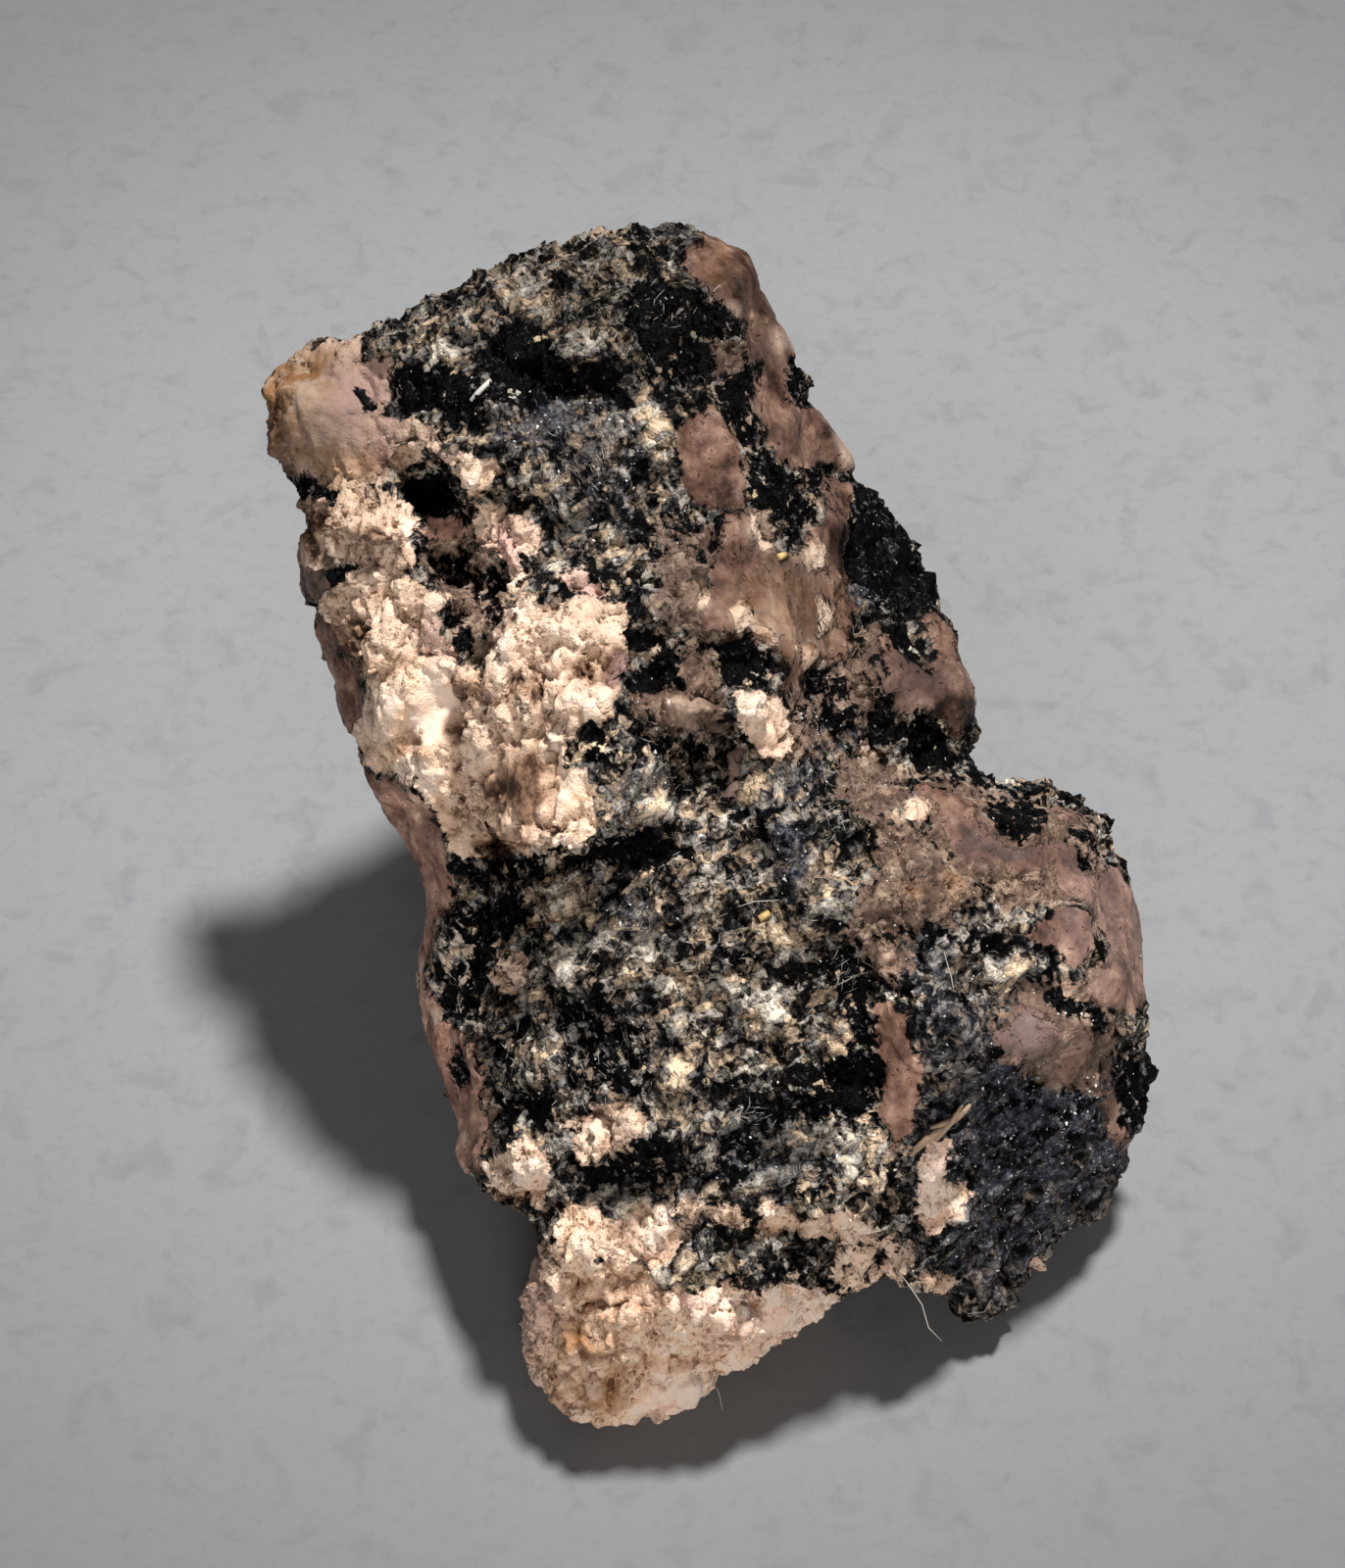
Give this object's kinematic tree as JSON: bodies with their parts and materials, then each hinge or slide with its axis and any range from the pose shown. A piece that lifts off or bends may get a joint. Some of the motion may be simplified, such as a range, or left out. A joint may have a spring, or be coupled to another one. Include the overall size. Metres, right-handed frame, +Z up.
{
  "type": "inesite mineral specimen",
  "caption": "Rough crystalline stone of black and cream grains with pink masses, a slanted cavity and an overhung ledge, leaning back on a flat base.",
  "frame": {"origin": "on the resting surface, below the middle of the stone's bounding box", "axes": "+Z up; +Y the way the raised upper end of the stone points; +X to the right when the face is looked at from the front"},
  "size_m": [0.0274, 0.03, 0.0266],
  "materials": {
    "inesite_matrix": "rough black granular crust speckled with cream, pink crystal masses and smooth brown-pink coats"
  },
  "bodies": {
    "root": {"inesite_stone": "inesite_matrix"}
  },
  "joints": []
}
